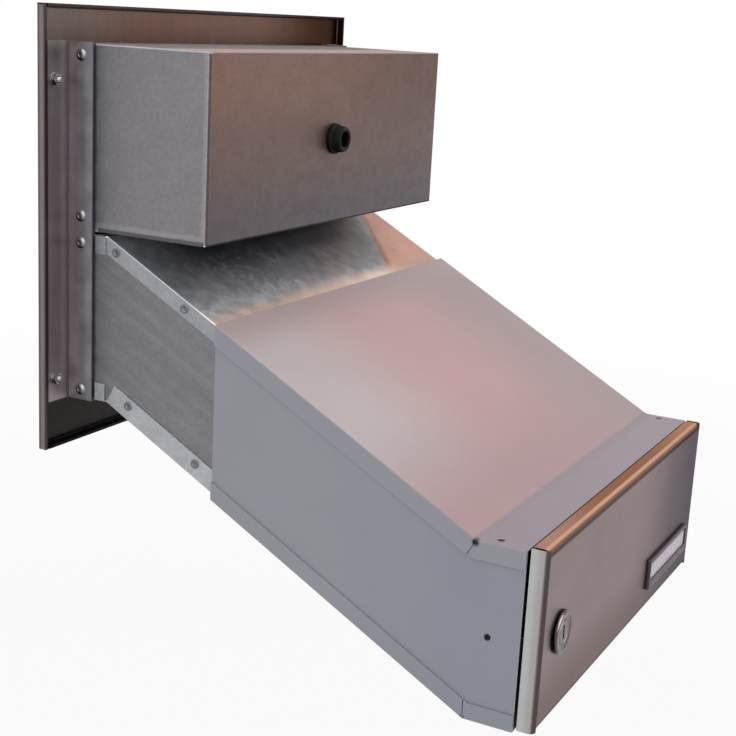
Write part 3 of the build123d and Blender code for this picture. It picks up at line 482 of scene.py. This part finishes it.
# The duct's top is painted with reflections by duct_top and duct_rim, grey beyond the rim, with a
# painted highlight along its left fold and grey flanges.
top_zinc = galvanised(
    "galvanised_top",
    duct_top,
    (DEPTH, -79, -87, duct_rim),
    (DEPTH, -90, -97, "#a5a7ab"),
    (ACROSS, -126.2, -126.9, "#f4f5f6"),
    (ACROSS, -128.4, -128.7, "#989a9f"),
    (ACROSS, 128.2, 128.6, "#989a9f"),
    rough=(0.3, 0.36),
    contrast=0.04,
    wear_and_highlight=1.0,
    edge="#f4f5f6",
)
aluminium = mill_aluminium()
paint = powder_coat("silk_powder_coat", "#94959c", (DEPTH, -150, -240, "#8f919b"))
# The sleeve's top is the same grey paint, painted with the warm yard's reflection: pink and mauve
# tones that change across it and along it, a greyer band at the collar, and the paint's own grey at
# its side flanges.
paint_with_warm_reflection = powder_coat(
    "silk_powder_coat_top",
    "#bbb0b3",
    (ACROSS, -110, -10, "#be9a9b"),
    (DEPTH, -165, -225, "#ae9094"),
    (ACROSS, 10, 110, "#a69295"),
    (DEPTH, -115, -92, "#ab989a"),
    (DEPTH, -233, -235, "#928692"),
    (ACROSS, -131.2, -131.7, "#94959c"),
    (ACROSS, 131.2, 131.7, "#94959c"),
)
# Up and towards the yard: rivets, nuts and studs are painted light where they face this way and
# painted in shade where they face away
upward = (0, -0.5, 0.87)
dome_lean = (upward, -0.4, 0.7, "#b5b1b0")
flat_lean = (upward, -0.65, 0.4, "#85888c")
nut_lean = (upward, -0.45, 0.6, "#b5b1ae")
rivet_metal = shaded_fastener("aluminium_rivets", "#1f1b1c", 0.34, dome_lean)
flat_metal = shaded_fastener("flat_aluminium_rivets", "#4c4e52", 0.45, flat_lean)
fastener = shaded_fastener("zinc_plated_steel", "#3a3536", 0.32, nut_lean)
# The lock: painted black shade on its side wall, grey on its face, and a painted highlight on its
# rim
lock_face = ((0, -1, 0.2), 0.2, 0.7, "#625252")
lock_glint = ((-0.42, -0.75, 0.5), 0.93, 0.985, "#e6dedd")
lock_metal = shaded_fastener("satin_chromed_lock", "#0b090a", 0.24, lock_face, lock_glint)
inner_zinc = small_piece("bright_zinc_plating", "#aeacaa", 1.0, 0.34)
spring_wire = small_piece("spring_steel", "#8c8a88", 1.0, 0.35)
chrome = small_piece("satin_chromed_brass", "#a39d9a", 1.0, 0.26)
frame_metal = small_piece("bronze_anodised_frame", "#4f434a", 1.0, 0.4)
black_steel = small_piece("blackened_steel", "#08090c", 0.0, 0.4, gloss=0.2)
rubber = small_piece("black_rubber", "#060807", 0.0, 0.5, spot=1.5, depth=0.02, gloss=0.15)
plastic = small_piece("black_plastic", "#1c1c1e", 0.0, 0.42, spot=1.5, depth=0.01)
card = small_piece("lilac_label_card", "#e8dde9", 0.0, 0.7, spot=1.2, share=0.03, depth=0.01)
acrylic = clear_cover()

# Limits by which a shape's edges are told apart
same_corner = 0.002 * mm
flat_fold = radians(0.5)
smooth_fold = radians(35)
sharp_fold = radians(50)
cut_edge_width = 1.9 * mm


def merged(node):
    """A bmesh of a node's solids, with shared corners."""
    work = bmesh.new()
    work.from_mesh(nodes[node].data)
    bmesh.ops.remove_doubles(work, verts=work.verts, dist=same_corner)
    return work


def solids(node):
    """The lowest and highest corner of each separate solid of a node."""
    work = merged(node)
    boxes = []
    waiting = set(work.verts)
    while waiting:
        group = [waiting.pop()]
        for corner in group:
            for edge in corner.link_edges:
                other = edge.other_vert(corner)
                if other in waiting:
                    waiting.discard(other)
                    group.append(other)
        lowest = Vector([min(corner.co[axis] for corner in group) for axis in range(3)])
        highest = Vector([max(corner.co[axis] for corner in group) for axis in range(3)])
        boxes.append((lowest, highest))
    work.free()
    return boxes


def made(work, name, node, finish):
    """Makes a bmesh a finished piece that stands for a node."""
    mesh = bpy.data.meshes.new(name)
    work.to_mesh(mesh)
    work.free()
    mesh.materials.append(finish)
    mesh.shade_smooth()
    mesh.set_sharp_from_angle(angle=smooth_fold)
    piece = bpy.data.objects.new(name, mesh)
    bpy.context.scene.collection.objects.link(piece)
    even = piece.modifiers.new("even_shading", "WEIGHTED_NORMAL")
    even.keep_sharp = True
    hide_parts(node)
    return piece


def placed(work, name, node, finish):
    """Makes a bmesh a finished piece that stands for a node and moves with its body."""
    piece = made(work, name, node, finish)
    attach(piece, nodes[node].parent.name.split(":")[-1])
    return piece


def rounded(work, edges, width, segments):
    """Rounds edges and marks the new faces as an edge."""
    mark = work.faces.layers.float.get("edge") or work.faces.layers.float.new("edge")
    bevelled = bmesh.ops.bevel(
        work,
        geom=edges,
        offset=width * mm,
        offset_type="OFFSET",
        segments=segments,
        profile=0.5,
        affect="EDGES",
        material=-1,
        clamp_overlap=True,
    )
    for face in bevelled["faces"]:
        face[mark] = 1.0


def sharp_edges(work):
    """Outer edges of bends and of cuts."""
    outer = [edge for edge in work.edges if edge.is_manifold and edge.is_convex]
    return [edge for edge in outer if edge.calc_face_angle() > sharp_fold]


def bent_edges(work):
    """Outer edges where a sheet is bent: both faces are wider than a sheet is thick."""
    edges = []
    for edge in sharp_edges(work):
        width = min(2 * face.calc_area() / face.calc_perimeter() for face in edge.link_faces)
        if width > cut_edge_width:
            edges.append(edge)
    return edges


def dressed(node, finish, slot, bend, cut):
    """A node's own shape with its bends and its cut edges rounded, in mm."""
    work = merged(node)
    bmesh.ops.dissolve_limit(work, angle_limit=flat_fold, verts=work.verts, edges=work.edges)
    if bend:
        rounded(work, bent_edges(work), bend, 3)
    rounded(work, sharp_edges(work), cut, 1)
    placed(work, "finished_" + node, node, finish)


def turned(profile, steps):
    """Solid of revolution about +Z, from (radius, height) pairs in mm."""
    work = bmesh.new()
    points = [work.verts.new((radius, 0, height)) for radius, height in profile]
    edges = [work.edges.new(pair) for pair in zip(points, points[1:])]
    bmesh.ops.spin(
        work,
        geom=points + edges,
        cent=(0, 0, 0),
        axis=(0, 0, 1),
        angle=2 * pi,
        steps=steps,
        use_merge=True,
    )
    bmesh.ops.remove_doubles(work, verts=work.verts, dist=0.001)
    bmesh.ops.recalc_face_normals(work, faces=work.faces)
    return work


def threaded(radius, top, bottom, pitch, depth):
    """Profile of a thread from top to bottom."""
    points = []
    height = top
    while height - pitch > bottom:
        points += [(radius, height), (radius - depth, height - pitch / 2)]
        height -= pitch
    return points + [(radius, height), (radius, bottom)]


def hexagon_nut(flats, height, bore):
    """Nut from a turned ring with chamfers, cut flat on six sides."""
    reach = flats / sqrt(3)
    flat_rim = flats / 2 * 0.97
    lead = (reach - flats / 2) * 0.6
    chamfer = 0.25
    ring = [
        (bore, chamfer),
        (bore + chamfer, 0),
        (flat_rim, 0),
        (reach, lead),
        (reach, height - lead),
        (flat_rim, height),
        (bore + chamfer, height),
        (bore, height - chamfer),
    ]
    work = turned([*ring, ring[0]], steps=48)
    for side in range(6):
        outward = Vector((cos(side * pi / 3), sin(side * pi / 3), 0))
        cut = bmesh.ops.bisect_plane(
            work,
            geom=work.verts[:] + work.edges[:] + work.faces[:],
            dist=0.0001,
            plane_co=outward * flats / 2,
            plane_no=outward,
            clear_outer=True,
        )["geom_cut"]
        rim = [item for item in cut if isinstance(item, bmesh.types.BMEdge)]
        bmesh.ops.contextual_create(work, geom=rim)
    bmesh.ops.recalc_face_normals(work, faces=work.faces)
    return work


def at_each(shape, seats):
    """Copies of a shape drawn in mm, each with its +Z along outward from a place in metres."""
    pattern = bpy.data.meshes.new("pattern")
    shape.to_mesh(pattern)
    shape.free()
    work = bmesh.new()
    for place, outward, turn in seats:
        facing = Vector(outward).to_track_quat("Z", "Y").to_matrix().to_4x4()
        about = Matrix.Rotation(radians(turn), 4, "Z")
        copy = pattern.copy()
        copy.transform(Matrix.Translation(place) @ facing @ about @ Matrix.Scale(mm, 4))
        work.from_mesh(copy)
        bpy.data.meshes.remove(copy)
    bpy.data.meshes.remove(pattern)
    return work


def on_sides(node, proud):
    """Seats on the side faces, for fasteners whose heads stand proud mm."""
    seats = []
    for low, high in solids(node):
        middle = (low + high) / 2
        side = 1 if middle.x > 0 else -1
        middle.x = (high.x if side > 0 else low.x) - side * proud * mm
        seats.append((middle, (side, 0, 0), 0))
    return seats


def on_panel(node, turn=0):
    """Seats that face the yard, each at the street end of a fastener."""
    seats = []
    for low, high in solids(node):
        middle = (low + high) / 2
        middle.y = high.y
        seats.append((middle, (0, -1, 0), turn))
    return seats


# Pieces that keep their CAD shape: node, finish, slot, and how far their bends and their cut edges
# are rounded, in mm
kept_shapes = [
    ("street_panel", panel_steel, "stainless", 0, 0.3),
    ("letter_flap", fitting_steel, "stainless", 0, 0.15),
    ("flap_brackets", duct_zinc, "galvanised_sheet", 0, 0.15),
    ("left_angle", aluminium, "aluminium_angle", 0, 0.3),
    ("right_angle", aluminium, "aluminium_angle", 0, 0.3),
    ("box_shell", box_zinc, "galvanised_sheet", 0.9, 0.12),
    ("box_top_sheet", lid_zinc, "galvanised_sheet", 0, 0.2),
    ("box_base_sheet", base_zinc, "galvanised_sheet", 0.5, 0.12),
    ("duct_top_sheet", top_zinc, "galvanised_sheet", 0.9, 0.25),
    ("duct_bottom_sheet", duct_zinc, "galvanised_sheet", 0.9, 0.25),
    ("duct_left_side", side_zinc, "galvanised_sheet", 0, 0.12),
    ("duct_right_side", side_zinc, "galvanised_sheet", 0, 0.12),
    ("sleeve_top_sheet", paint_with_warm_reflection, "powder_coat", 1.0, 0.15),
    ("sleeve_bottom_sheet", paint, "powder_coat", 1.0, 0.15),
    ("sleeve_left_side", paint, "powder_coat", 0, 0.15),
    ("sleeve_right_side", paint, "powder_coat", 0, 0.15),
    ("lock_catch", inner_zinc, "zinc_fastener", 0, 0.15),
    ("door_pan", door_steel, "stainless", 0, 0.25),
    ("door_hinge_arms", inner_zinc, "zinc_fastener", 0, 0.15),
    ("hinge_spacers", plastic, "black_plastic", 0, 0.15),
    ("hinge_clips", spring_wire, "spring_steel", 0, 0.1),
    ("lock_cam", inner_zinc, "zinc_fastener", 0, 0.15),
    ("cam_screw", inner_zinc, "zinc_fastener", 0, 0.2),
    ("lock_plug", lock_metal, "lock_chrome", 0, 0.25),
    ("nameplate_frame", frame_metal, "dark_frame", 0, 0.15),
    ("nameplate_insert", card, "white_card", 0, 0.1),
    ("nameplate_window", acrylic, "clear_cover", 0, 0.08),
    ("contact_block", plastic, "black_plastic", 0, 0.25),
    ("hinge_pin", black_steel, "black_steel", 0, 0.3),
    ("flap_rod", inner_zinc, "zinc_fastener", 0, 0.2),
]
for row in kept_shapes:
    dressed(*row)

# Flap spring in its CAD shape, as a piece of its own that no body holds
low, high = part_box("flap_spring")
work = merged("flap_spring")
torsion_spring = made(work, "wound_flap_spring", "flap_spring", spring_wire)
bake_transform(torsion_spring)

# Button spring in its CAD shape, which moves with its body
low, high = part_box("button_spring")
work = merged("button_spring")
coil_spring = placed(work, "wound_button_spring", "button_spring", spring_wire)
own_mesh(coil_spring)

# Studs welded on the panel, with washers and nuts that hold the angles
stud_thread = threaded(radius=1.5, top=6.1, bottom=0.5, pitch=0.5, depth=0.2)
stud = turned([(0, 6.5), (1.1, 6.5), *stud_thread, (1.5, 0), (0, 0)], steps=24)
work = at_each(stud, on_panel("panel_studs"))
placed(work, "threaded_studs", "panel_studs", fastener)
washer = turned(
    [
        (1.7, 0.08),
        (1.78, 0),
        (3.42, 0),
        (3.5, 0.08),
        (3.5, 0.42),
        (3.42, 0.5),
        (1.78, 0.5),
        (1.7, 0.42),
        (1.7, 0.08),
    ],
    steps=36,
)
work = at_each(washer, on_panel("stud_washers"))
placed(work, "flat_washers", "stud_washers", fastener)
nut = hexagon_nut(flats=5.5, height=2.4, bore=1.5)
work = at_each(nut, on_panel("stud_nuts", turn=30))
placed(work, "hexagon_nuts", "stud_nuts", fastener)

# Blind rivets: a domed head with the broken mandrel sunk in it, and the set tail inside
dome = 1.1
blind_rivet = turned(
    [
        (0, 0.5),
        (0.6, 0.45),
        (0.75, 0.3),
        (0.9, 0.3),
        (0.95, 0.95),
        (1.1, dome),
        (1.6, 1.06),
        (2.2, 0.86),
        (2.7, 0.5),
        (2.95, 0.2),
        (3.0, 0),
        (1.6, 0),
        (1.6, -2.8),
        (2.3, -2.95),
        (2.4, -3.4),
        (2.1, -3.8),
        (1.2, -4.0),
        (0, -4.0),
    ],
    steps=32,
)
work = at_each(blind_rivet, on_sides("angle_rivets", dome))
placed(work, "blind_rivets", "angle_rivets", rivet_metal)

# Flat rivets along the duct's flanges, slightly dished
flat_head = 0.5
flat_rivet = turned(
    [
        (0, 0.28),
        (1.2, 0.32),
        (1.5, 0.48),
        (2.1, flat_head),
        (2.35, 0.36),
        (2.4, 0),
        (1.6, 0),
        (1.6, -1.6),
        (2.35, -1.62),
        (2.4, -1.9),
        (2.2, -2.1),
        (0, -2.1),
    ],
    steps=28,
)
work = at_each(flat_rivet, on_sides("duct_rivets", flat_head))
placed(work, "flat_rivets", "duct_rivets", flat_metal)

# Rubber grommet, snapped into the rear wall of the box
inner_lip = 2.8
low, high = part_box("cable_grommet")
wall = (low + high) / 2
wall.y = high.y - inner_lip * mm
grommet = turned(
    [
        (4.4, -2.5),
        (4.7, -inner_lip),
        (7.4, -inner_lip),
        (7.9, -2.5),
        (8.0, -2.0),
        (7.6, -0.8),
        (6.0, -0.8),
        (6.0, 0),
        (8.15, 0),
        (8.4, 0.3),
        (8.4, 1.4),
        (8.25, 2.0),
        (7.8, 2.35),
        (7.7, 2.45),
        (7.55, 2.7),
        (7.5, 3.0),
        (7.0, 6.4),
        (6.7, 7.1),
        (6.1, 7.45),
        (5.5, 7.5),
        (4.9, 7.35),
        (4.5, 7.0),
        (4.4, 6.5),
        (4.4, -2.5),
    ],
    steps=48,
)
work = at_each(grommet, [(wall, (0, -1, 0), 0)])
placed(work, "rubber_grommet", "cable_grommet", rubber)

# Catch screw in the left side of the sleeve
screw_head = 0.6
low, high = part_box("catch_screw")
sleeve_side = (low + high) / 2
sleeve_side.x = low.x + screw_head * mm
screw = turned(
    [
        (0, 0.25),
        (0.45, 0.25),
        (0.6, 0.52),
        (1.2, screw_head),
        (1.5, 0.42),
        (1.6, 0),
        (1.0, 0),
        (1.0, -2.5),
        (0, -2.5),
    ],
    steps=24,
)
work = at_each(screw, [(sleeve_side, (-1, 0, 0), 0)])
placed(work, "round_head_screw", "catch_screw", black_steel)

# Lock case with a dished flange, and its nut behind the door
lock_flange = 2.4
lock_thread = threaded(radius=8.0, top=-1.0, bottom=-17.6, pitch=1.0, depth=0.4)
low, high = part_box("lock_body")
door_face = (low + high) / 2
door_face.y = low.y + lock_flange * mm
case = turned(
    [
        (6.08, 1.8),
        (6.28, 2.0),
        (8.0, 2.0),
        (8.9, 2.32),
        (9.2, lock_flange),
        (9.5, lock_flange),
        (10.0, 2.26),
        (10.4, 1.96),
        (10.68, 1.5),
        (10.8, 0.95),
        (10.8, 0),
        *lock_thread,
        (7.6, -18),
        (6.08, -18),
        (6.08, 1.8),
    ],
    steps=64,
)
work = at_each(case, [(door_face, (0, -1, 0), 0)])
placed(work, "lock_case", "lock_body", lock_metal)
behind_door = door_face.copy()
behind_door.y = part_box("lock_nut")[0].y
nut = hexagon_nut(flats=20, height=3, bore=8.0)
work = at_each(nut, [(behind_door, (0, 1, 0), 30)])
placed(work, "lock_hexagon_nut", "lock_nut", inner_zinc)

# Call button in its bezel, and the nut behind the street panel
housing_thread = threaded(radius=8.0, top=-2.6, bottom=-21.6, pitch=1.0, depth=0.4)
low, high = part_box("button_housing")
bezel_face = (low + high) / 2
bezel_face.y = high.y
housing = turned(
    [
        (0, -12),
        (7.1, -12),
        (7.1, -4),
        (6.1, -4),
        (6.1, -0.25),
        (6.35, 0),
        (9.6, 0),
        (10.3, -0.12),
        (10.76, -0.4),
        (11, -0.9),
        (11, -2),
        *housing_thread,
        (7.6, -22),
        (0, -22),
    ],
    steps=64,
)
work = at_each(housing, [(bezel_face, (0, 1, 0), 0)])
placed(work, "button_bezel", "button_housing", chrome)
button = turned(
    [
        (0, 0.62),
        (3.2, 0.7),
        (4.2, 0.74),
        (4.3, 0.5),
        (4.6, 0.5),
        (4.7, 0.78),
        (5.3, 0.76),
        (5.75, 0.55),
        (6.0, 0.1),
        (6.0, -4.1),
        (7.0, -4.1),
        (7.0, -6.3),
        (0, -6.3),
    ],
    steps=64,
)
work = at_each(button, [(bezel_face, (0, 1, 0), 0)])
placed(work, "push_button", "call_button", chrome)
behind_panel = bezel_face.copy()
behind_panel.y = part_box("button_nut")[1].y
nut = hexagon_nut(flats=22, height=2.5, bore=8.0)
work = at_each(nut, [(behind_panel, (0, -1, 0), 30)])
placed(work, "button_hexagon_nut", "button_nut", fastener)

# Camera, as the photograph shows the part from behind, its left and a little above
turn, rise, roll = radians(-63.01), radians(14.03), radians(3.1)
camera_place = Vector((-696.2, -462.6, 114.8)) * mm
back = Vector((sin(turn) * cos(rise), -cos(turn) * cos(rise), sin(rise)))
level = Vector((cos(turn), sin(turn), 0))
up = back.cross(level)
right = level * cos(roll) + up * sin(roll)
above = up * cos(roll) - level * sin(roll)
facing = Matrix((right, above, back)).transposed().to_4x4()
camera = bpy.data.objects.new("camera", bpy.data.cameras.new("camera"))
bpy.context.scene.collection.objects.link(camera)
camera.matrix_world = Matrix.Translation(camera_place) @ facing
camera.data.lens = 68.97
camera.data.clip_start = 0.01
bpy.context.scene.camera = camera


def lamp(name, place, size, watts, code):
    """Square soft lamp, aimed at the part."""
    part_middle = Vector((0, -0.1, 0))
    light = bpy.data.lights.new(name, "AREA")
    light.size = size
    light.energy = watts
    light.color = colour(code)[:3]
    holder = bpy.data.objects.new(name, light)
    holder.location = place
    holder.rotation_euler = (part_middle - Vector(place)).to_track_quat("-Z", "Y").to_euler()
    bpy.context.scene.collection.objects.link(holder)


lamp("top_lamp", (0.1, -0.3, 1.6), size=2.0, watts=15, code="#fff4ec")
lamp("side_lamp", (-1.6, -0.6, 0.7), size=1.8, watts=10, code="#f6f8ff")


def seen_rays(tree, *kinds):
    """1 for rays of these kinds, as from the camera or off metal, and 0 for the others."""
    path = add_node(tree, "LightPath")
    share = path.outputs[kinds[0]]
    for kind in kinds[1:]:
        pair = {0: share, 1: path.outputs[kind]}
        share = add_node(tree, "Math", pair, operation="MAXIMUM").outputs[0]
    return share


# White surroundings, as seen directly, in metal and through clear plastic; softer as light
soft, white = 0.5, 1.0
world = bpy.data.worlds.new("studio")
bpy.context.scene.world = world
world.use_nodes = True
tree = world.node_tree
background = tree.nodes["Background"]
background.inputs["Color"].default_value = colour("#ffffff")
seen = seen_rays(tree, "Is Camera Ray", "Is Glossy Ray", "Is Transmission Ray")
strength = add_node(tree, "MapRange", {"Value": seen, "To Min": soft, "To Max": white})
tree.links.new(strength.outputs[0], background.inputs["Strength"])

# Pale matt floor, well below the part, which hangs in a wall. Far out it is as white as the
# backdrop, so that no horizon shows.
floor_half, floor_drop = 6, 0.6
fade_start, fade_end = 1.0, 2.6
near_glow, far_glow = 0.86, 1.0
plate = bmesh.new()
bmesh.ops.create_grid(plate, x_segments=1, y_segments=1, size=floor_half)
bmesh.ops.translate(plate, vec=(0, 0, -floor_drop), verts=plate.verts)
floor_mesh = bpy.data.meshes.new("floor")
plate.to_mesh(floor_mesh)
plate.free()
floor = bpy.data.objects.new("floor", floor_mesh)
bpy.context.scene.collection.objects.link(floor)
floor_paint, tree, matt, place = new_material("matt_white_floor", roughness=0.9)
matt.inputs["Base Color"].default_value = colour("#f4f4f4")
far = add_node(tree, "VectorMath", {0: place}, operation="LENGTH").outputs["Value"]
fade = {"Value": far, "From Min": fade_start, "From Max": fade_end}
fade.update({"To Min": near_glow, "To Max": far_glow})
paleness = add_node(tree, "MapRange", fade).outputs[0]
seen = seen_rays(tree, "Is Camera Ray", "Is Glossy Ray")
share = add_node(tree, "Math", {0: seen, 1: paleness}, operation="MULTIPLY").outputs[0]
glow = add_node(tree, "Emission", {"Color": "#ffffff", "Strength": 1.0})
both = add_node(tree, "MixShader", {0: share, 1: matt.outputs[0], 2: glow.outputs[0]})
tree.links.new(both.outputs[0], tree.nodes["Material Output"].inputs["Surface"])
floor_mesh.materials.append(floor_paint)

bpy.context.scene.view_settings.view_transform = "Standard"
